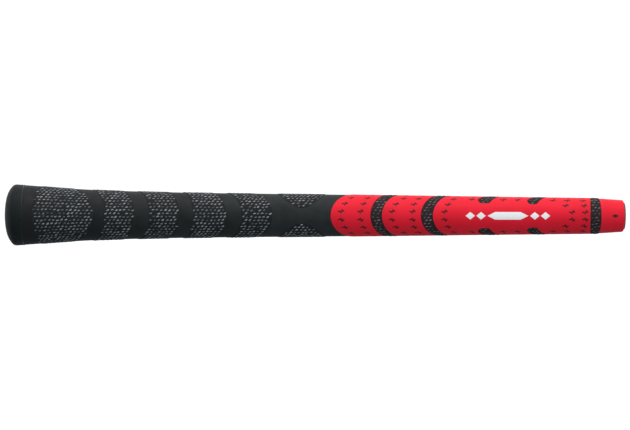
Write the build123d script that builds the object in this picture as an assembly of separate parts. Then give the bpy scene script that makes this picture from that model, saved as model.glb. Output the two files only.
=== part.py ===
from build123d import *
import math
import os

# Multi-compound golf grip, in millimetres.
# The grip's axis is +X: the mouth is at x = 0 and the butt end is at x = -LENGTH.
# -Y is the front, where the ornament is, and +Z is up.
# A station is a distance from the butt end along the axis.
# An angle goes round the axis: 0 is the front, 90 the top and -90 the bottom.

# ---------------------------------------------------------------- driving dimensions

LENGTH = 273.0

# Outer shape: (station, diameter) of the corded surface, from the cap's rim to the tip ring.
PROFILE = (
    (5.0, 27.0),
    (10.0, 26.4),
    (24.0, 24.25),
    (50.0, 21.7),
    (80.0, 20.25),
    (130.0, 19.05),
    (200.0, 17.25),
    (262.3, 15.7),
)
WIDEST = 30.0

# Butt cap: the dome's outline ahead of its rim, the rim, the spigot and the holes.
DOME = ((0.0, 4.0), (0.44, 13.8), (1.32, 19.9), (2.2, 23.1), (3.2, 25.5), (5.0, 27.0))
CAP_END = 8.2
SPIGOT_END = 13.0
SPIGOT_RADIUS = 9.4
CAP_FLOOR = 4.6
VENT_RADIUS = 2.0

# Shaft bore: straight at the mouth, then a cone that widens to the butt of the shaft.
MOUTH_BORE_RADIUS = 5.5
MOUTH_BORE_LENGTH = 25.0
BUTT_BORE_RADIUS = 7.4

# Core tube: its outside is a cone between these radii, with a chamfer round the mouth.
CORE_BUTT_RADIUS = 9.4
CORE_MOUTH_RADIUS = 6.15
MOUTH_CHAMFER = 0.5
MOUTH_LIP_RADIUS = 5.75

# Radial steps between the compounds, from the corded surface.
SMOOTH_DROP = 0.12
CORD_DEPTH = 1.0
RED_RISE = 0.05

# A joint is (station on the front line, station at the side lines).
PANELS = (
    ((12.9, 15.9), (39.7, 29.7)),
    ((44.0, 38.3), (57.5, 51.6)),
    ((63.9, 57.9), (77.2, 71.9)),
    ((83.0, 78.1), (97.9, 91.1)),
    ((104.3, 97.4), (117.9, 109.2)),
)
RED_START = (143.4, 153.3)
BAND_1 = ((160.7, 168.4), (165.9, 174.3))
BAND_2 = ((182.8, 191.0), (188.2, 196.8))
TIP_RING = ((257.2, 258.0), (262.1, 261.4))

# Corded side panels: half ellipses seen from above.
SIDE_PANEL_STATION = 130.7
SIDE_PANEL_HALF_LENGTH = 10.6
SIDE_PANEL_HALF_WIDTH = 8.9

# Corded crescents over the top and the bottom: stations at the side line, the distance that
# they reach towards the front and the back, and how far they sweep to the butt on the way.
CRESCENTS = ((212.2, 218.8), (233.8, 239.6))
CRESCENT_REACH = 6.5
CRESCENT_SWEEP = 5.8
CRESCENT_END_RADIUS = 1.4

# Tip collar.
COLLAR_START_DIAMETER = 15.6
COLLAR_END_DIAMETER = 14.2
COLLAR_EDGE_LENGTH = 2.0
COLLAR_RUN_IN = 1.0
COLLAR_SURFACE_DEPTH = 0.6

# Paint-filled marks: a dash with a notch and a peak, drawn as a stroke.
MARK_STROKE = 0.65
MARK_DEPTH = 0.2
MARK_OUTLINE = ((-1.4, 0.05), (-0.45, -0.05), (-0.05, -0.5), (0.5, 0.65), (0.95, 0.1), (1.4, 0.15))
MARK_ANGLES = (11.25, 33.75, 56.25, 78.75)
# Rows of marks on each red sleeve: stations at those angles, or None where there is no mark.
MARK_ROWS_1 = ((147.9, 149.6, 152.3, 154.4), (156.4, 157.8, 159.6, 162.0))
MARK_ROWS_2 = ((170.2, 172.0, 175.4, 177.0), (179.2, 179.9, 182.0, 184.2))
MARK_ROWS_3 = (
    (193.2, 194.8, 197.4, 199.0),
    (None, None, 205.4, 206.6),
    (None, None, 219.2, 220.6),
    (None, None, 225.5, 226.6),
    (None, None, 241.1, 242.2),
    (249.2, 246.4, 247.3, 248.2),
    (255.0, 254.6, 254.2, 253.8),
)

# Ornament: a slim bar with pointed ends between small diamonds, and the collar's diamond.
ORNAMENT_STATION = 221.0
ORNAMENT_BAR = (18.0, 3.4)
ORNAMENT_DIAMOND = (4.2, 3.4)
ORNAMENT_DIAMOND_OFFSETS = (11.8, 16.5)
ORNAMENT_DEPTH = 0.35
ALIGNMENT_STATION = 268.2
ALIGNMENT_DIAMOND = (3.1, 1.8)
PRISM_HEIGHT = 3.0
PAINT_DROP = 0.05


# ---------------------------------------------------------------- shared shapes


def x_at(station):
    return station - LENGTH


def turned(outline):
    """A solid of revolution about the axis, from (station, radius) corners joined by lines."""
    corners = [(x_at(station), radius) for station, radius in outline]
    with BuildPart() as solid:
        with BuildSketch(Plane.XY):
            with BuildLine():
                Polyline(*corners, close=True)
            make_face()
        revolve(axis=Axis.X)
    return solid.part


def skin(rise):
    """The grip's whole profile as one solid, raised or lowered radially."""
    points = [(x_at(station), diameter / 2 + rise) for station, diameter in PROFILE]
    start, end = points[0], points[-1]
    with BuildPart() as solid:
        with BuildSketch(Plane.XZ):
            with BuildLine():
                Spline(*points)
                Polyline(end, (end[0], 0), (start[0], 0), start)
            make_face()
        revolve(axis=Axis.X)
    return solid.part


def profile_radius(station):
    """The corded surface's radius, by straight lines between the profile's stations."""
    for (near, near_width), (far, far_width) in zip(PROFILE, PROFILE[1:]):
        if station <= far:
            share = (station - near) / (far - near)
            return (near_width + share * (far_width - near_width)) / 2
    return PROFILE[-1][1] / 2


def joint_station(joint, reach):
    """Where a joint's plane is, at a distance in front of or behind the axis."""
    front, side = joint
    return side + (front - side) * reach / profile_radius(front)


def between(near_joint, far_joint, reach=WIDEST, low=-WIDEST, high=WIDEST):
    """A block between two joints. Each joint is two planes that meet at the side lines."""
    near, far = near_joint, far_joint
    corners = [
        (x_at(near[1]), 0),
        (x_at(joint_station(near, reach)), reach),
        (x_at(joint_station(far, reach)), reach),
        (x_at(far[1]), 0),
        (x_at(joint_station(far, reach)), -reach),
        (x_at(joint_station(near, reach)), -reach),
    ]
    with BuildPart() as block:
        with BuildSketch(Plane.XY.offset(low)):
            with BuildLine():
                Polyline(*corners, close=True)
            make_face()
        extrude(amount=high - low)
    return block.part


def square_joint(station):
    return (station, station)


def solids_of(shape):
    return list(shape.solids())


def pocket_floor(station, angle, depth):
    """A plane under the red surface: its x follows the surface to the mouth, its y goes round."""
    turn = math.radians(angle)
    slope = profile_radius(station + 1) - profile_radius(station)
    radius = profile_radius(station) + RED_RISE - depth
    out_y, out_z = -math.cos(turn), math.sin(turn)
    return Plane(
        origin=(x_at(station), radius * out_y, radius * out_z),
        x_dir=(1, slope * out_y, slope * out_z),
        z_dir=(-slope, out_y, out_z),
    )


# ---------------------------------------------------------------- the compounds


def core_cone():
    """The core tube's outside, which everything else is bonded to."""
    return turned(
        (
            (SPIGOT_END, 0),
            (SPIGOT_END, CORE_BUTT_RADIUS),
            (LENGTH - MOUTH_CHAMFER, CORE_MOUTH_RADIUS),
            (LENGTH, MOUTH_LIP_RADIUS),
            (LENGTH, 0),
        )
    )


def core_tube():
    bore_step = LENGTH - MOUTH_BORE_LENGTH
    bore = turned(
        (
            (SPIGOT_END, 0),
            (SPIGOT_END, BUTT_BORE_RADIUS),
            (bore_step, MOUTH_BORE_RADIUS),
            (LENGTH, MOUTH_BORE_RADIUS),
            (LENGTH, 0),
        )
    )
    return core_cone() - bore


def butt_cap():
    """A domed cap with a ring spigot. The shaft's butt rests on the cap's floor."""
    points = [(x_at(station), diameter / 2) for station, diameter in DOME]
    rim = profile_radius(CAP_END)
    with BuildPart() as cap:
        with BuildSketch(Plane.XY):
            with BuildLine():
                Spline(*points, tangents=((0, 1), (1, 0)))
                Polyline(
                    points[-1],
                    (x_at(CAP_END), rim),
                    (x_at(CAP_END), SPIGOT_RADIUS),
                    (x_at(SPIGOT_END), SPIGOT_RADIUS),
                    (x_at(SPIGOT_END), BUTT_BORE_RADIUS),
                    (x_at(CAP_FLOOR), BUTT_BORE_RADIUS),
                    (x_at(CAP_FLOOR), VENT_RADIUS),
                    points[0],
                )
            make_face()
        revolve(axis=Axis.X)
    return cap.part


def panel_blocks():
    return [between(near, far) for near, far in PANELS]


def side_panel_block(upper):
    """A half ellipse prism above or below the axis."""
    with BuildPart() as block:
        with BuildSketch(Plane.XY):
            with Locations((x_at(SIDE_PANEL_STATION), 0)):
                Ellipse(SIDE_PANEL_HALF_LENGTH, SIDE_PANEL_HALF_WIDTH)
        extrude(amount=WIDEST if upper else -WIDEST)
    return block.part


def crescent_block(stations, upper):
    """A V-shaped block over the top or under the bottom, with rounded ends."""
    near, far = stations
    swept = CRESCENT_SWEEP
    corners = [
        (x_at(near), 0),
        (x_at(near - swept), CRESCENT_REACH),
        (x_at(far - swept), CRESCENT_REACH),
        (x_at(far), 0),
        (x_at(far - swept), -CRESCENT_REACH),
        (x_at(near - swept), -CRESCENT_REACH),
    ]
    with BuildPart() as block:
        with BuildSketch(Plane.XY) as sketch:
            with BuildLine():
                Polyline(*corners, close=True)
            make_face()
            ends = [v for v in sketch.vertices() if abs(v.Y) > CRESCENT_REACH / 2]
            fillet(ends, CRESCENT_END_RADIUS)
        extrude(amount=WIDEST if upper else -WIDEST)
    return block.part


def corded_layer():
    """The layer that the cord preforms are cut from."""
    return skin(0) - skin(-CORD_DEPTH)


def upper_sleeve(pockets):
    """The smooth black compound, with a pocket for every corded panel."""
    body = skin(-SMOOTH_DROP) & between(square_joint(CAP_END), RED_START)
    spigot = turned(
        (
            (CAP_END, 0),
            (CAP_END, SPIGOT_RADIUS),
            (SPIGOT_END, SPIGOT_RADIUS),
            (SPIGOT_END, 0),
        )
    )
    body = body - spigot - core_cone()
    floor = skin(-CORD_DEPTH)
    for pocket in pockets:
        body = body - (pocket - floor)
    return body


def red_ring(near, far):
    return (skin(RED_RISE) & between(near, far)) - core_cone()


def tip_collar():
    """The red collar at the mouth. It starts at the tip ring's curved edge and ends in a curve."""
    start = (x_at(TIP_RING[1][1] - COLLAR_RUN_IN), COLLAR_START_DIAMETER / 2)
    turn = (x_at(LENGTH - COLLAR_EDGE_LENGTH), COLLAR_END_DIAMETER / 2)
    mouth = (x_at(LENGTH - MOUTH_CHAMFER), CORE_MOUTH_RADIUS)
    with BuildPart() as collar:
        with BuildSketch(Plane.XZ):
            with BuildLine():
                Line(start, turn)
                Spline(turn, mouth, tangents=((1, 0), (0, -1)))
                Polyline(mouth, (mouth[0], 0), (start[0], 0), start)
            make_face()
        revolve(axis=Axis.X)
    past_ring = between(TIP_RING[1], square_joint(LENGTH + COLLAR_RUN_IN))
    return (collar.part & past_ring) - core_cone()


# ---------------------------------------------------------------- marks and ornaments


def mark_prism(station, angle):
    """One mark, drawn out from its floor. Marks below the front line are mirrored."""
    flip = 1 if angle > 0 else -1
    points = [(along, flip * around) for along, around in MARK_OUTLINE]
    with BuildPart() as prism:
        with BuildSketch(pocket_floor(station, angle, MARK_DEPTH)):
            with BuildLine():
                Polyline(*points)
            trace(line_width=MARK_STROKE)
        extrude(amount=PRISM_HEIGHT)
    return prism.part


def mark_prisms(rows):
    """A sleeve's marks on the front half and, turned half way round, on the back half."""
    prisms = []
    for row in rows:
        for station, angle in zip(row, MARK_ANGLES):
            if station is None:
                continue
            for place in (angle, -angle, angle - 180, 180 - angle):
                prisms.append(mark_prism(station, place))
    return prisms


def diamond_outline(size):
    half_length, half_height = size[0] / 2, size[1] / 2
    return ((-half_length, 0), (0, half_height), (half_length, 0), (0, -half_height))


def bar_outline(size):
    half_length, half_height = size[0] / 2, size[1] / 2
    shoulder = half_length - size[1]
    return (
        (-half_length, 0),
        (-shoulder, half_height),
        (shoulder, half_height),
        (half_length, 0),
        (shoulder, -half_height),
        (-shoulder, -half_height),
    )


def front_prism(floor, outline):
    with BuildPart() as prism:
        with BuildSketch(floor):
            with BuildLine():
                Polyline(*outline, close=True)
            make_face()
        extrude(amount=PRISM_HEIGHT)
    return prism.part


def ornament_prisms():
    floor = pocket_floor(ORNAMENT_STATION, 0, ORNAMENT_DEPTH)
    prisms = [front_prism(floor, bar_outline(ORNAMENT_BAR))]
    for offset in ORNAMENT_DIAMOND_OFFSETS:
        for station in (ORNAMENT_STATION - offset, ORNAMENT_STATION + offset):
            floor = pocket_floor(station, 0, ORNAMENT_DEPTH)
            prisms.append(front_prism(floor, diamond_outline(ORNAMENT_DIAMOND)))
    return prisms


def inlays(prisms, outside):
    """The part of every prism that lies inside the given outside, as one group of solids."""
    found = []
    for prism in prisms:
        found += solids_of(prism & outside)
    return found


# ---------------------------------------------------------------- assembly


def build():
    """Every node's name and its solids."""
    cord = corded_layer()
    red_outside = skin(RED_RISE)
    red_cord = red_outside - skin(-CORD_DEPTH)
    nodes = {"butt_cap": butt_cap(), "core_tube": core_tube()}

    panels = panel_blocks()
    upper_side, lower_side = side_panel_block(True), side_panel_block(False)
    nodes["upper_sleeve"] = upper_sleeve([*panels, upper_side, lower_side])
    for number, block in enumerate(panels, start=1):
        nodes[f"cord_panel_{number}"] = cord & block
    nodes["side_panel_upper"] = cord & upper_side
    nodes["side_panel_lower"] = cord & lower_side

    nodes["cord_band_1"] = red_ring(*BAND_1)
    nodes["cord_band_2"] = red_ring(*BAND_2)
    nodes["tip_cord_ring"] = red_ring(*TIP_RING)

    marks_1, marks_2 = mark_prisms(MARK_ROWS_1), mark_prisms(MARK_ROWS_2)
    marks_3, ornament = mark_prisms(MARK_ROWS_3), ornament_prisms()
    nodes["red_sleeve_1"] = red_ring(RED_START, BAND_1[0]) - marks_1
    nodes["red_sleeve_2"] = red_ring(BAND_1[1], BAND_2[0]) - marks_2
    lower_red = red_ring(BAND_2[1], TIP_RING[0]) - (marks_3 + ornament)
    for number, stations in enumerate(CRESCENTS, start=1):
        for side, upper in (("upper", True), ("lower", False)):
            crescent = red_cord & crescent_block(stations, upper)
            nodes[f"crescent_{side}_{number}"] = crescent
            lower_red = lower_red - crescent
    nodes["red_sleeve_3"] = lower_red
    paint_outside = skin(RED_RISE - PAINT_DROP)
    nodes["dash_marks"] = inlays(marks_1 + marks_2 + marks_3, paint_outside)
    nodes["ornament"] = inlays(ornament, paint_outside)

    collar = tip_collar()
    collar_drop = COLLAR_SURFACE_DEPTH + ORNAMENT_DEPTH
    floor = pocket_floor(ALIGNMENT_STATION, 0, collar_drop)
    diamond = front_prism(floor, diamond_outline(ALIGNMENT_DIAMOND))
    nodes["alignment_mark"] = diamond & collar
    nodes["tip_collar"] = collar - diamond
    return nodes


def write(name, shape):
    solids = shape if isinstance(shape, list) else solids_of(shape)
    whole = solids[0] if len(solids) == 1 else Compound(children=solids)
    export_step(whole, f"parts/{name}.step")
    print(name, len(solids), round(sum(solid.volume for solid in solids), 2))


if __name__ == "__main__":
    os.makedirs("parts", exist_ok=True)
    for name, shape in build().items():
        write(name, shape)
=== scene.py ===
import math
import random

import bpy
import numpy as np
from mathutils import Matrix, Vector, noise


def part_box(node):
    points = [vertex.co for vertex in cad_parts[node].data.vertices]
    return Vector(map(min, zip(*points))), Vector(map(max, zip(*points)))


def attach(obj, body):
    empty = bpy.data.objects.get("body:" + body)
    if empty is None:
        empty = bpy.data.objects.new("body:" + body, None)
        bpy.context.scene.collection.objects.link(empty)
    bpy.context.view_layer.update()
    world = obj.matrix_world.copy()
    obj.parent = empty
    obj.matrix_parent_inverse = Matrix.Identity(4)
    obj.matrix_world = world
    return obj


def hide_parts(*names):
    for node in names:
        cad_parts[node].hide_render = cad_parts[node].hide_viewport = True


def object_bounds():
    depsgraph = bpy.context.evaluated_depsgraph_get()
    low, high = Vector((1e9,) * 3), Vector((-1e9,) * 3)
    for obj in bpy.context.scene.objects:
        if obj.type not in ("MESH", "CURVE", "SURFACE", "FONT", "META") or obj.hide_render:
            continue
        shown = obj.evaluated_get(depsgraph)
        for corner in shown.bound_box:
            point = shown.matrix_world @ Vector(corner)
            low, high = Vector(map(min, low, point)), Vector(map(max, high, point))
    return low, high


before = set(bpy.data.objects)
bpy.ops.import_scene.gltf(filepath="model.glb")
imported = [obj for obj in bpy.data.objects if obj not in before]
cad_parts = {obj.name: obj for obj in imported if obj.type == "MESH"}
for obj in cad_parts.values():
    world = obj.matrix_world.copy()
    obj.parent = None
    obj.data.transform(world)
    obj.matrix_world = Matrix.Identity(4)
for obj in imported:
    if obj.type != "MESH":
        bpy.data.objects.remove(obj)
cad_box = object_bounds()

# Looks of a multi-compound golf grip. The grip's axis is +X, its front is -Y and +Z is up.
# Sizes are in millimetres unless a name says otherwise, and a station is a distance from the
# butt end along the axis. An angle goes round the axis: 0 is the front and 90 the top.

MM = 0.001
BODY = "root"
BUTT_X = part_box("butt_cap")[0].x
MOUTH_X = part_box("core_tube")[1].x
MIDDLE_X = (BUTT_X + MOUTH_X) / 2
LENGTH = (MOUTH_X - BUTT_X) / MM

# ---------------------------------------------------------------- sizes

# Outer shape of the corded surface: (station, diameter).
PROFILE = (
    (5.0, 27.0),
    (10.0, 26.4),
    (24.0, 24.25),
    (50.0, 21.7),
    (80.0, 20.25),
    (130.0, 19.05),
    (200.0, 17.25),
    (262.3, 15.7),
)
SMOOTH_DROP = 0.12
RED_RISE = 0.05

# A joint is (station on the front line, station at the side lines).
PANELS = (
    ((12.9, 15.9), (39.7, 29.7)),
    ((44.0, 38.3), (57.5, 51.6)),
    ((63.9, 57.9), (77.2, 71.9)),
    ((83.0, 78.1), (97.9, 91.1)),
    ((104.3, 97.4), (117.9, 109.2)),
)
CAP_JOINT = (8.2, 8.2)
RED_START = (143.4, 153.3)
BANDS = {
    "cord_band_1": ((160.7, 168.4), (165.9, 174.3)),
    "cord_band_2": ((182.8, 191.0), (188.2, 196.8)),
    "tip_cord_ring": ((257.2, 258.0), (262.1, 261.4)),
}
SIDE_PANEL_STATION = 130.7
SIDE_PANEL_HALF_LENGTH = 10.6
SIDE_PANEL_HALF_WIDTH = 8.9
CRESCENTS = {"1": (212.2, 218.8), "2": (233.8, 239.6)}
CRESCENT_REACH = 6.5
CRESCENT_SWEEP = 5.8
CRESCENT_END_RADIUS = 1.4

# Cord: short threads in staggered rows along the grip. A spread is the whole range of a random
# change, in radians for the slant and as a share of the size for the length and the width.
THREAD_ROW_SPACING = 1.47
THREAD_PITCH = 1.8
THREAD_LENGTH = 1.2
THREAD_WIDTH = 0.6
THREAD_HEIGHT = 0.22
THREAD_SLANT = math.radians(20)
THREAD_SLANT_SPREAD = 0.5
THREAD_SIZE_SPREAD = 0.3
THREAD_FRAY = 0.14
THREAD_BEND = 0.5
THREAD_SEGMENTS = 12
THREAD_RINGS = (-0.55, 0.0, 0.55, 0.85)
# Each thread's place: room kept at the joints as a share of its length, how often one is missing,
# and how far a row, a thread along its row and a thread across its row may stray, in spacings.
THREAD_END_ROOM = 0.45
THREAD_MISSING = 0.03
ROW_STRAY = 0.12
ALONG_STRAY = 0.1
ACROSS_STRAY = 0.13
# Seeds of the random draws. A panel's seed is its number, and the bands count up from theirs.
BAND_SEED = 20
SIDE_PANEL_SEED = 30
CRESCENT_SEED = 40

# Bead between the cap and the sleeve. It sits this share of its radius past the joint.
SEAM_PAST_JOINT = 0.6
SEAM_RADIUS = 0.2
SEAM_SIDES = 10

# Fine meshes: rounded edges, and how closely points follow one another.
EDGE_ROUND = 0.28
LONGEST_ROUND_SHARE = 0.45
EDGE_TURNS = (0, 30, 60)
SKIN_DEPTH = 0.7
UNDERSIDE_SHARE = 8
FEWEST_ROWS = 3
ROW_STEP = 0.45
COLUMN_STEP = 0.5
RING_COLUMN_RADIUS = 10.0
PATCH_COLUMNS = 64

# Unevenness of the rubber between the threads. The layer picks a slice of the noise.
RELIEF_HEIGHT = 0.05
RELIEF_PER_MM = 1.3
RELIEF_LAYER = 7.0


# ---------------------------------------------------------------- the profile


def natural_spline(points):
    """A smooth curve through (station, diameter) points, giving the radius at a station."""
    x = np.array([p[0] for p in points])
    y = np.array([p[1] / 2 for p in points])
    gap = np.diff(x)
    count = len(x)
    matrix = np.eye(count)
    right = np.zeros(count)
    for i in range(1, count - 1):
        matrix[i, i - 1] = gap[i - 1]
        matrix[i, i] = 2 * (gap[i - 1] + gap[i])
        matrix[i, i + 1] = gap[i]
        right[i] = 6 * ((y[i + 1] - y[i]) / gap[i] - (y[i] - y[i - 1]) / gap[i - 1])
    bend = np.linalg.solve(matrix, right)

    def value(station):
        s = np.clip(station, x[0], x[-1])
        i = np.clip(np.searchsorted(x, s) - 1, 0, count - 2)
        near, far = s - x[i], x[i + 1] - s
        curve = (bend[i] * far**3 + bend[i + 1] * near**3) / (6 * gap[i])
        left = (y[i] / gap[i] - bend[i] * gap[i] / 6) * far
        return curve + left + (y[i + 1] / gap[i] - bend[i + 1] * gap[i] / 6) * near

    return value


radius_at = natural_spline(PROFILE)


def joint_edge(joint):
    """A joint's station, as a function of angle."""
    front, side = joint
    return lambda angles: side + (front - side) * np.abs(np.cos(angles))


def place(station, angle, radius):
    """Points in the shared frame, in metres, from arrays of station, angle and radius."""
    x = BUTT_X + station * MM
    return np.stack([x, -radius * np.cos(angle) * MM, radius * np.sin(angle) * MM], axis=-1)


# ---------------------------------------------------------------- mesh makers


def add_piece(name, points, faces, material):
    """A smooth mesh object that rides on the grip's body."""
    mesh = bpy.data.meshes.new(name)
    mesh.from_pydata(points.reshape(-1, 3).tolist(), [], faces)
    mesh.validate()
    mesh.update()
    mesh.polygons.foreach_set("use_smooth", [True] * len(mesh.polygons))
    piece = bpy.data.objects.new(name, mesh)
    bpy.context.scene.collection.objects.link(piece)
    mesh.materials.append(material)
    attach(piece, BODY)
    return piece


def lattice_faces(rows, columns, wrap):
    """Quads over rows of points. Each row is a closed loop. With wrap, the last row meets the first."""
    faces = []
    for i in range(rows if wrap else rows - 1):
        a, b = i * columns, ((i + 1) % rows) * columns
        for j in range(columns):
            k = (j + 1) % columns
            faces.append((a + j, a + k, b + k, b + j))
    return faces


def section(near, far, rows):
    """Across a skin piece: (station, drop) pairs over the top and back along the underside."""
    turn = min(EDGE_ROUND, LONGEST_ROUND_SHARE * (far - near))
    edge = [(turn * (1 - math.cos(t)), turn * (1 - math.sin(t))) for t in np.radians(EDGE_TURNS)]
    flat = np.linspace(near + turn, far - turn, rows + 1)
    under = np.linspace(far, near, max(2, rows // UNDERSIDE_SHARE))
    rise = [(near + along, drop) for along, drop in edge]
    fall = [(far - along, drop) for along, drop in reversed(edge)]
    top = [(station, 0.0) for station in flat]
    return rise + top + fall + [(station, SKIN_DEPTH) for station in under]


def skin_piece(name, angles, near, far, rise, material, wrap, relief=None):
    """A closed skin between two joints: near and far give its stations at each angle."""
    widest = float(np.max(far - near))
    rows = max(FEWEST_ROWS, int(widest / ROW_STEP))
    grid = np.array([section(n, f, rows) for n, f in zip(near, far)])
    stations, drops = grid[:, :, 0], grid[:, :, 1]
    turns = np.repeat(angles[:, None], stations.shape[1], axis=1)
    radius = radius_at(stations) + rise - drops
    if relief:
        radius = radius + relief(stations, turns) * np.clip(1 - drops / EDGE_ROUND, 0, 1)
    columns = stations.shape[1]
    faces = lattice_faces(len(angles), columns, wrap)
    if not wrap:
        last = (len(angles) - 1) * columns
        faces += [tuple(reversed(range(columns))), tuple(range(last, last + columns))]
    return add_piece(name, place(stations, turns, radius), faces, material)


def round_angles():
    """Even angles all round, in a whole number of columns for each quarter."""
    count = int(2 * math.pi * RING_COLUMN_RADIUS / COLUMN_STEP / 4) * 4
    return np.arange(count) * 2 * math.pi / count


def tapered_angles(middle, half):
    """Angles from one end of a patch to the other, closer together at its ends."""
    t = np.linspace(-math.pi / 2, math.pi / 2, PATCH_COLUMNS)[1:-1]
    return middle + half * np.sin(t)


def cord_relief(stations, angles):
    """Uneven rubber between the threads."""
    radius = radius_at(stations)
    rough = np.empty(stations.shape)
    for index, station in np.ndenumerate(stations):
        around = radius[index] * angles[index]
        spot = (station * RELIEF_PER_MM, around * RELIEF_PER_MM, RELIEF_LAYER)
        rough[index] = noise.noise(Vector(spot))
    return RELIEF_HEIGHT * rough


# ---------------------------------------------------------------- threads


def thread_template():
    """A unit ellipsoid: its points and faces."""
    points = [(0.0, 0.0, -1.0)]
    for height in THREAD_RINGS:
        width = math.sqrt(1 - height * height)
        for k in range(THREAD_SEGMENTS):
            turn = 2 * math.pi * k / THREAD_SEGMENTS
            points.append((width * math.cos(turn), width * math.sin(turn), height))
    points.append((0.0, 0.0, 1.0))
    top = len(points) - 1
    faces = []
    for k in range(THREAD_SEGMENTS):
        n = (k + 1) % THREAD_SEGMENTS
        faces.append((0, 1 + n, 1 + k))
        for ring in range(len(THREAD_RINGS) - 1):
            a, b = 1 + ring * THREAD_SEGMENTS, 1 + (ring + 1) * THREAD_SEGMENTS
            faces.append((a + k, a + n, b + n, b + k))
        last = 1 + (len(THREAD_RINGS) - 1) * THREAD_SEGMENTS
        faces.append((last + k, last + n, top))
    return np.array(points), faces


def thread_places(angle_low, angle_high, near, far, seed):
    """Each thread's (station, angle, random tone, other random share), in rows along the grip.

    near and far give the patch's edges at an angle.
    """
    rng = random.Random(seed)
    radius = float(radius_at((near(0.0) + far(0.0)) / 2))
    rows = max(1, round((angle_high - angle_low) * radius / THREAD_ROW_SPACING))
    found = []
    for row in range(rows):
        angle = angle_low + (row + 0.5) * (angle_high - angle_low) / rows
        sides = angle + np.array((-0.5, 0.5)) * THREAD_WIDTH / radius
        low = float(np.max(near(sides))) + THREAD_END_ROOM * THREAD_LENGTH
        high = float(np.min(far(sides))) - THREAD_END_ROOM * THREAD_LENGTH
        shift = (row % 2) * 0.5 + rng.uniform(-ROW_STRAY, ROW_STRAY)
        first = math.ceil(low / THREAD_PITCH - shift)
        last = math.floor(high / THREAD_PITCH - shift)
        for step in range(first, last + 1):
            if rng.random() < THREAD_MISSING:
                continue
            station = (step + shift + rng.uniform(-ALONG_STRAY, ALONG_STRAY)) * THREAD_PITCH
            stray = rng.uniform(-ACROSS_STRAY, ACROSS_STRAY)
            turn = angle + stray * THREAD_ROW_SPACING / radius
            found.append((min(max(station, low), high), turn, rng.random(), rng.random()))
    return found


def thread_piece(name, middles, rise, material, seed):
    """One mesh of every thread on a patch. Each thread keeps one tone, held as an attribute."""
    template, template_faces = thread_template()
    station, angle, tone, other = np.array(middles).T
    slant = THREAD_SLANT + THREAD_SLANT_SPREAD * (other - 0.5)
    length = THREAD_LENGTH * (1 + THREAD_SIZE_SPREAD * (tone - 0.5))
    width = THREAD_WIDTH * (1 + THREAD_SIZE_SPREAD * (other - 0.5))
    rng = np.random.default_rng(seed)
    frayed = 1 + THREAD_FRAY * rng.uniform(-1, 1, (len(middles), len(template)))
    along = template[:, 0] * frayed * length[:, None] / 2
    around = template[:, 1] * frayed * width[:, None] / 2
    bend = THREAD_BEND * (other[:, None] - 0.5) * template[:, 0] ** 2
    around = around + bend * width[:, None]
    out = template[:, 2] * THREAD_HEIGHT / 2
    cos, sin = np.cos(slant)[:, None], np.sin(slant)[:, None]
    s = station[:, None] + along * cos - around * sin
    offset = along * sin + around * cos
    radius = radius_at(s) + rise + out
    points = place(s, angle[:, None] + offset / radius, radius)
    size = len(template)
    faces = [
        tuple(n + i * size for n in face) for i in range(len(middles)) for face in template_faces
    ]
    piece = add_piece(name, points, faces, material)
    layer = piece.data.attributes.new("tone", "FLOAT", "POINT")
    layer.data.foreach_set("value", np.repeat(tone, size).astype(np.float32))
    return piece


# ---------------------------------------------------------------- materials


WHITE = (1.0, 1.0, 1.0)
NOISE_ROUGHNESS = 0.55
# Edges start to look worn at the first pointiness and are fully worn at the second.
WEAR_FROM = 0.52
WEAR_TO = 0.6
WORN_GAIN = 2.5


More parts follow.
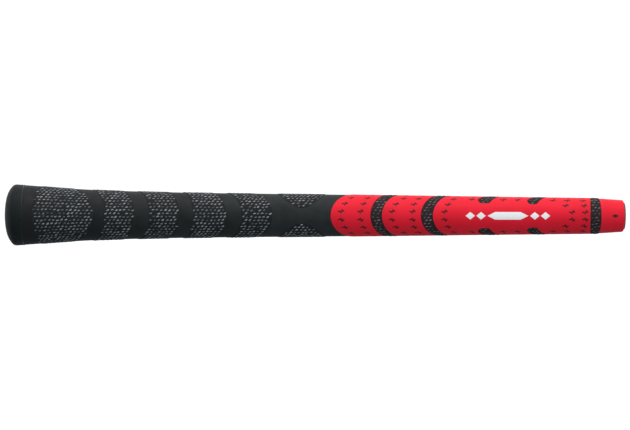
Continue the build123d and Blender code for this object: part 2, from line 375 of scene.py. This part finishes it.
class Shader:
    """A material and short ways to add nodes to it."""

    def __init__(self, name, roughness, specular=0.5, sheen=0.0):
        self.material = bpy.data.materials.new(name)
        self.material.use_nodes = True
        self.tree = self.material.node_tree
        self.surface = self.tree.nodes["Principled BSDF"]
        self.surface.inputs["Roughness"].default_value = roughness
        self.surface.inputs["Specular IOR Level"].default_value = specular
        self.surface.inputs["Sheen Weight"].default_value = sheen
        self.coordinates = self.node("ShaderNodeTexCoord").outputs["Object"]

    def node(self, kind, **settings):
        found = self.tree.nodes.new(kind)
        for key, value in settings.items():
            setattr(found, key, value)
        return found

    def link(self, output, socket):
        self.tree.links.new(output, socket)

    def noise(self, size_mm, detail=3.0):
        """Noise whose lumps are about this size."""
        texture = self.node("ShaderNodeTexNoise")
        texture.inputs["Scale"].default_value = 1 / (size_mm * MM)
        texture.inputs["Detail"].default_value = detail
        texture.inputs["Roughness"].default_value = NOISE_ROUGHNESS
        self.link(self.coordinates, texture.inputs["Vector"])
        return texture.outputs["Fac"]

    def along(self):
        """How far along the black part a point is: 0 at the butt and 1 at the red part."""
        split = self.node("ShaderNodeSeparateXYZ")
        self.link(self.coordinates, split.inputs["Vector"])
        spread = self.node("ShaderNodeMapRange")
        spread.inputs["From Min"].default_value = BUTT_X
        spread.inputs["From Max"].default_value = BUTT_X + RED_START[0] * MM
        self.link(split.outputs["X"], spread.inputs["Value"])
        return spread.outputs["Result"]

    def ramp(self, factor, *stops):
        """A colour ramp. Each stop is (position, colour)."""
        ramp = self.node("ShaderNodeValToRGB")
        ramp.color_ramp.elements[0].position = stops[0][0]
        ramp.color_ramp.elements[1].position = stops[-1][0]
        for position, _ in stops[1:-1]:
            ramp.color_ramp.elements.new(position)
        for element, (_, colour) in zip(ramp.color_ramp.elements, stops):
            element.color = (*colour, 1.0)
        self.link(factor, ramp.inputs["Fac"])
        return ramp.outputs["Color"]

    def cloudy(self, size_mm, dark, pale, detail=3.0, dark_until=0.3, pale_from=0.7):
        """A tone that drifts between two colours."""
        return self.ramp(self.noise(size_mm, detail), (dark_until, dark), (pale_from, pale))

    def mix(self, factor, first, second, blend="MIX"):
        """Two colours mixed. The factor is a number or a socket, and a colour a tuple or a socket."""
        mixer = self.node("ShaderNodeMix", data_type="RGBA", blend_type=blend)
        if isinstance(factor, float):
            mixer.inputs["Factor"].default_value = factor
        else:
            self.link(factor, mixer.inputs["Factor"])
        for socket, colour in ((mixer.inputs["A"], first), (mixer.inputs["B"], second)):
            if isinstance(colour, tuple):
                socket.default_value = (*colour, 1.0)
            else:
                self.link(colour, socket)
        return mixer.outputs["Result"]

    def colour(self, output):
        self.link(output, self.surface.inputs["Base Color"])

    def uneven_roughness(self, size_mm, low, high):
        """Roughness that drifts between two values."""
        spread = self.node("ShaderNodeMapRange")
        spread.inputs["To Min"].default_value = low
        spread.inputs["To Max"].default_value = high
        self.link(self.noise(size_mm), spread.inputs["Value"])
        self.link(spread.outputs["Result"], self.surface.inputs["Roughness"])

    def grain(self, size_mm, height_mm, strength, detail=3.0):
        """Adds a bump of noise on top of the bumps already there."""
        bump = self.node("ShaderNodeBump")
        bump.inputs["Strength"].default_value = strength
        bump.inputs["Distance"].default_value = height_mm * MM
        self.link(self.noise(size_mm, detail), bump.inputs["Height"])
        earlier = self.surface.inputs["Normal"].links
        if earlier:
            self.link(earlier[0].from_socket, bump.inputs["Normal"])
        self.link(bump.outputs["Normal"], self.surface.inputs["Normal"])

    def edge_wear(self, colour, worn, amount=0.5):
        """A paler colour where the surface is sharply convex."""
        geometry = self.node("ShaderNodeNewGeometry")
        spread = self.node("ShaderNodeMapRange")
        spread.inputs["From Min"].default_value = WEAR_FROM
        spread.inputs["From Max"].default_value = WEAR_TO
        spread.inputs["To Max"].default_value = amount
        self.link(geometry.outputs["Pointiness"], spread.inputs["Value"])
        return self.mix(spread.outputs["Result"], colour, worn)


def black_rubber(name, dark, pale, roughness, grain_mm, specular=0.35, butt_shade=None):
    """Smooth moulded rubber: cloudy tone, fine matte grain and worn edges.

    With a butt shade, the tone is multiplied by it at the butt end, and the shade fades away
    towards the red part.
    """
    shader = Shader(name, roughness, specular)
    tone = shader.cloudy(size_mm=9.0, dark=dark, pale=pale, detail=4.0)
    if butt_shade:
        shade = shader.ramp(shader.along(), (0.0, (butt_shade,) * 3), (1.0, WHITE))
        tone = shader.mix(1.0, tone, shade, "MULTIPLY")
    shader.colour(shader.edge_wear(tone, worn=tuple(WORN_GAIN * c for c in pale)))
    shader.uneven_roughness(size_mm=2.5, low=roughness - 0.08, high=roughness + 0.1)
    shader.grain(size_mm=3.0, height_mm=0.05, strength=0.5)
    shader.grain(size_mm=grain_mm, height_mm=0.03, strength=0.6, detail=2.0)
    return shader.material


def cord_rubber(name, dark, pale):
    """The rubber between the threads: rough, pitted and a little dusty."""
    shader = Shader(name, roughness=0.8, specular=0.25)
    shader.colour(shader.cloudy(size_mm=0.6, dark=dark, pale=pale, detail=4.0, dark_until=0.35))
    shader.uneven_roughness(size_mm=1.0, low=0.7, high=0.95)
    shader.grain(size_mm=0.45, height_mm=0.12, strength=0.8, detail=4.0)
    return shader.material


def thread_cotton(name, dark, pale):
    """Cut cotton cord: each thread has its own tone, with twisted fibres and soiled areas."""
    shader = Shader(name, roughness=0.85, specular=0.2, sheen=0.15)
    attribute = shader.node("ShaderNodeAttribute", attribute_name="tone")
    tone = shader.ramp(attribute.outputs["Fac"], (0.0, dark), (1.0, pale))
    soiled = shader.cloudy(size_mm=5.0, dark=(0.55, 0.55, 0.55), pale=WHITE)
    shader.colour(shader.mix(1.0, tone, soiled, "MULTIPLY"))
    shader.grain(size_mm=0.16, height_mm=0.06, strength=0.9)
    return shader.material


def red_rubber():
    """Satin red rubber with a soft cloudiness and a fine moulded grain."""
    shader = Shader("red_rubber", roughness=0.5, specular=0.12)
    tone = shader.cloudy(size_mm=14.0, dark=(0.76, 0.010, 0.026), pale=(0.86, 0.014, 0.036))
    shader.colour(shader.edge_wear(tone, worn=(0.9, 0.06, 0.08), amount=0.12))
    shader.uneven_roughness(size_mm=3.0, low=0.42, high=0.6)
    shader.grain(size_mm=4.0, height_mm=0.05, strength=0.4)
    shader.grain(size_mm=0.25, height_mm=0.02, strength=0.5, detail=2.0)
    return shader.material


def paint(name, dark, pale, roughness):
    """Paint wiped into an engraving: slightly uneven in tone and thickness."""
    shader = Shader(name, roughness, specular=0.35)
    shader.colour(shader.cloudy(size_mm=0.7, dark=dark, pale=pale))
    shader.uneven_roughness(size_mm=1.2, low=roughness - 0.1, high=roughness + 0.1)
    shader.grain(size_mm=0.4, height_mm=0.03, strength=0.6)
    return shader.material


smooth_black = black_rubber(
    "smooth_black",
    dark=(0.011, 0.0135, 0.0138),
    pale=(0.024, 0.0275, 0.028),
    roughness=0.6,
    grain_mm=0.2,
    specular=0.2,
    butt_shade=0.35,
)
cap_black = black_rubber(
    "cap_black",
    dark=(0.003, 0.0055, 0.0055),
    pale=(0.006, 0.010, 0.010),
    roughness=0.55,
    grain_mm=0.3,
    specular=0.15,
)
seam_black = black_rubber(
    "seam_black",
    dark=(0.003, 0.004, 0.004),
    pale=(0.006, 0.008, 0.008),
    roughness=0.3,
    grain_mm=0.3,
    specular=0.4,
)
core_black = black_rubber(
    "core_black",
    dark=(0.006, 0.006, 0.006),
    pale=(0.014, 0.014, 0.014),
    roughness=0.7,
    grain_mm=0.3,
)
# Each cord is the rubber between its threads and the cotton of the threads.
grey_cord = (
    cord_rubber("cord_black", dark=(0.004, 0.005, 0.006), pale=(0.02, 0.021, 0.023)),
    thread_cotton("thread_grey", dark=(0.10, 0.105, 0.11), pale=(0.36, 0.37, 0.38)),
)
warm_cord = (
    cord_rubber("cord_warm", dark=(0.009, 0.005, 0.006), pale=(0.035, 0.022, 0.025)),
    thread_cotton("thread_warm", dark=(0.075, 0.055, 0.055), pale=(0.21, 0.16, 0.16)),
)
red = red_rubber()
dark_paint = paint(
    "dark_paint", dark=(0.045, 0.0012, 0.003), pale=(0.1, 0.0035, 0.008), roughness=0.7
)
white_paint = paint(
    "white_paint", dark=(0.92, 0.905, 0.88), pale=(0.98, 0.965, 0.94), roughness=0.5
)


# ---------------------------------------------------------------- the grip's pieces


def dress(node, material):
    """Gives a CAD node's mesh a better material."""
    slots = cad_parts[node].data.materials
    for index in range(len(slots)):
        slots[index] = material


def corded(node, angles, span, edges, rise, cord, wrap, seed):
    """Puts corded rubber and its threads in a CAD node's place, between two edges."""
    rubber, cotton = cord
    near_at, far_at = edges
    near, far = near_at(angles), far_at(angles)
    base = skin_piece(f"{node}_rubber", angles, near, far, rise, rubber, wrap, cord_relief)
    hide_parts(node)
    middles = thread_places(*span, near_at, far_at, seed)
    threads = thread_piece(f"{node}_threads", middles, rise, cotton, seed)


def corded_ring(node, joints, rise, cord, seed):
    """A corded ring between two joints."""
    edges = [joint_edge(joint) for joint in joints]
    corded(node, round_angles(), (0.0, 2 * math.pi), edges, rise, cord, True, seed)


def corded_patch(node, middle, half, edges, rise, cord, seed):
    """A corded patch over the top or the bottom, between two edges."""
    span = (middle - half, middle + half)
    corded(node, tapered_angles(middle, half), span, edges, rise, cord, False, seed)


def side_panel_edge(sign):
    """The near (-1) or far (+1) edge of a half-ellipse patch."""

    def edge(angles):
        reach = radius_at(SIDE_PANEL_STATION) * np.cos(angles)
        share = np.clip(1 - (reach / SIDE_PANEL_HALF_WIDTH) ** 2, 0.0, 1.0)
        return SIDE_PANEL_STATION + sign * SIDE_PANEL_HALF_LENGTH * np.sqrt(share)

    return edge


def crescent_edge(stations, sign):
    """The near (-1) or far (+1) edge of a crescent, with a rounded corner at each end."""
    side = stations[0] if sign < 0 else stations[1]
    # The slanted edge runs until the reach is turn. From there a circle about centre takes over.
    lean = CRESCENT_SWEEP / CRESCENT_REACH
    stretch = math.hypot(1, lean)
    corner = CRESCENT_REACH - CRESCENT_END_RADIUS
    turn = corner + sign * CRESCENT_END_RADIUS * lean / stretch
    centre = side - lean * corner - sign * CRESCENT_END_RADIUS * stretch

    def edge(angles):
        # The reach needs the radius where the edge is, so it is found in two steps.
        reach = np.abs(radius_at(side) * np.cos(angles))
        reach = np.abs(radius_at(side - lean * reach) * np.cos(angles))
        past = np.clip(reach - corner, -CRESCENT_END_RADIUS, CRESCENT_END_RADIUS)
        rounded = centre + sign * np.sqrt(CRESCENT_END_RADIUS**2 - past**2)
        return np.where(reach > turn, rounded, side - lean * reach)

    return edge


def upper_sleeve():
    """The smooth black rubber under and between the corded panels."""
    angles = round_angles()
    near = joint_edge(CAP_JOINT)(angles) - EDGE_ROUND
    far = joint_edge(RED_START)(angles)
    sleeve = skin_piece("sleeve_black", angles, near, far, -SMOOTH_DROP, smooth_black, True)
    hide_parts("upper_sleeve")


def cap_seam():
    """The fine moulded bead in the step between the cap and the sleeve."""
    turns = round_angles()
    around = np.arange(SEAM_SIDES) * 2 * math.pi / SEAM_SIDES
    middle = float(radius_at(CAP_JOINT[0])) - SMOOTH_DROP
    station = CAP_JOINT[0] + SEAM_RADIUS * (SEAM_PAST_JOINT + np.cos(around))
    radius = middle + SEAM_RADIUS * np.sin(around)
    shape = (len(turns), SEAM_SIDES)
    points = place(
        np.broadcast_to(station, shape),
        np.broadcast_to(turns[:, None], shape),
        np.broadcast_to(radius, shape),
    )
    seam = add_piece("cap_seam", points, lattice_faces(*shape, True), seam_black)


upper_sleeve()
cap_seam()
for number, joints in enumerate(PANELS, start=1):
    corded_ring(f"cord_panel_{number}", joints, 0.0, grey_cord, number)
for seed, (node, joints) in enumerate(BANDS.items(), start=BAND_SEED):
    corded_ring(node, joints, RED_RISE, warm_cord, seed)
side_half = math.asin(SIDE_PANEL_HALF_WIDTH / float(radius_at(SIDE_PANEL_STATION)))
for side, middle in (("upper", math.pi / 2), ("lower", -math.pi / 2)):
    edges = side_panel_edge(-1), side_panel_edge(1)
    corded_patch(f"side_panel_{side}", middle, side_half, edges, 0.0, grey_cord, SIDE_PANEL_SEED)
    for number, stations in CRESCENTS.items():
        half = math.asin(CRESCENT_REACH / float(radius_at(stations[0] - CRESCENT_SWEEP)))
        edges = crescent_edge(stations, -1), crescent_edge(stations, 1)
        name = f"crescent_{side}_{number}"
        corded_patch(name, middle, half, edges, RED_RISE, warm_cord, CRESCENT_SEED)

dress("butt_cap", cap_black)
dress("core_tube", core_black)
dress("tip_collar", red)
for number in (1, 2, 3):
    dress(f"red_sleeve_{number}", red)
dress("dash_marks", dark_paint)
dress("alignment_mark", dark_paint)
dress("ornament", white_paint)


# ---------------------------------------------------------------- floor, light and camera

# In metres and watts. FRAME_SHARE is how much of the frame's width the grip fills.
FLOOR_DROP = 0.1
FLOOR_HALF = 20.0
FLOOR_GLOW = 0.08
KEY_IN_FRONT = 0.35
KEY_HEIGHT = 0.9
KEY_SIZE = (0.9, 0.4)
KEY_WATTS = 3.0
CAMERA_DISTANCE = 1.1
FRAME_SHARE = 0.981746
CAMERA_ROLL = math.radians(-0.1)
CAMERA_RISE = 0.0002
# The sky's strength as the camera sees it, and as it lights the grip from above and below. The
# two are blended over this much of the height to each side of the horizon.
SKY_SEEN = 1.1
SKY_BLEND = 0.5
SKY_ABOVE = 1.12
SKY_BELOW = 0.38
SKY_BELOW_COLOUR = (0.88, 0.98, 1.06)


def pale_floor():
    """A wide white floor under the grip. It casts no light back on it."""
    z = cad_box[0][2] - FLOOR_DROP
    corners = ((-1, -1), (1, -1), (1, 1), (-1, 1))
    points = [(x * FLOOR_HALF, y * FLOOR_HALF, z) for x, y in corners]
    mesh = bpy.data.meshes.new("floor")
    mesh.from_pydata(points, [], [(0, 1, 2, 3)])
    floor = bpy.data.objects.new("floor", mesh)
    bpy.context.scene.collection.objects.link(floor)
    shader = Shader("floor_white", roughness=0.9, specular=0.0)
    shader.colour(shader.cloudy(size_mm=300.0, dark=(0.94, 0.94, 0.94), pale=(0.97, 0.97, 0.97)))
    shader.surface.inputs["Emission Color"].default_value = (*WHITE, 1.0)
    shader.surface.inputs["Emission Strength"].default_value = FLOOR_GLOW
    mesh.materials.append(shader.material)
    floor.visible_diffuse = False
    floor.visible_glossy = False


def studio_world():
    """A soft white studio: bright above, dim below, and plain white to the camera."""
    world = bpy.data.worlds.new("studio")
    bpy.context.scene.world = world
    world.use_nodes = True
    tree = world.node_tree
    nodes, links = tree.nodes, tree.links
    background = nodes["Background"]
    coordinates = nodes.new("ShaderNodeTexCoord")
    split = nodes.new("ShaderNodeSeparateXYZ")
    spread = nodes.new("ShaderNodeMapRange")
    spread.interpolation_type = "SMOOTHSTEP"
    spread.inputs["From Min"].default_value = -SKY_BLEND
    spread.inputs["From Max"].default_value = SKY_BLEND
    spread.inputs["To Min"].default_value = SKY_BELOW
    spread.inputs["To Max"].default_value = SKY_ABOVE
    path = nodes.new("ShaderNodeLightPath")
    white = nodes.new("ShaderNodeMix")
    white.data_type = "FLOAT"
    white.inputs["B"].default_value = SKY_SEEN
    links.new(coordinates.outputs["Generated"], split.inputs["Vector"])
    links.new(split.outputs["Z"], spread.inputs["Value"])
    links.new(path.outputs["Is Camera Ray"], white.inputs["Factor"])
    links.new(spread.outputs["Result"], white.inputs["A"])
    links.new(white.outputs["Result"], background.inputs["Strength"])
    tint = nodes.new("ShaderNodeMix")
    tint.data_type = "RGBA"
    tint.inputs["A"].default_value = (*SKY_BELOW_COLOUR, 1.0)
    tint.inputs["B"].default_value = (*WHITE, 1.0)
    untinted = nodes.new("ShaderNodeMath")
    untinted.operation = "MAXIMUM"
    links.new(split.outputs["Z"], untinted.inputs[0])
    links.new(path.outputs["Is Camera Ray"], untinted.inputs[1])
    links.new(untinted.outputs["Value"], tint.inputs["Factor"])
    links.new(tint.outputs["Result"], background.inputs["Color"])


def key_light():
    """A soft box above the grip and in front of it."""
    light = bpy.data.lights.new("key", "AREA")
    light.shape = "RECTANGLE"
    light.size, light.size_y = KEY_SIZE
    light.energy = KEY_WATTS
    lamp = bpy.data.objects.new("key", light)
    bpy.context.scene.collection.objects.link(lamp)
    lamp.location = (MIDDLE_X, -KEY_IN_FRONT, KEY_HEIGHT)
    aim = Vector((0.0, KEY_IN_FRONT, -KEY_HEIGHT))
    lamp.rotation_euler = aim.to_track_quat("-Z", "Y").to_euler()


def camera():
    """Level with the grip's axis, square to it, with the grip nearly filling the frame's width."""
    data = bpy.data.cameras.new("camera")
    seen = LENGTH * MM / FRAME_SHARE
    data.sensor_fit = "HORIZONTAL"
    data.angle = 2 * math.atan(seen / 2 / CAMERA_DISTANCE)
    data.clip_start = 0.01
    data.dof.use_dof = False
    eye = bpy.data.objects.new("camera", data)
    bpy.context.scene.collection.objects.link(eye)
    eye.location = (MIDDLE_X, -CAMERA_DISTANCE, CAMERA_RISE)
    eye.rotation_euler = (math.radians(90), CAMERA_ROLL, 0.0)
    bpy.context.scene.camera = eye


pale_floor()
studio_world()
key_light()
camera()
bpy.context.scene.view_settings.view_transform = "Standard"
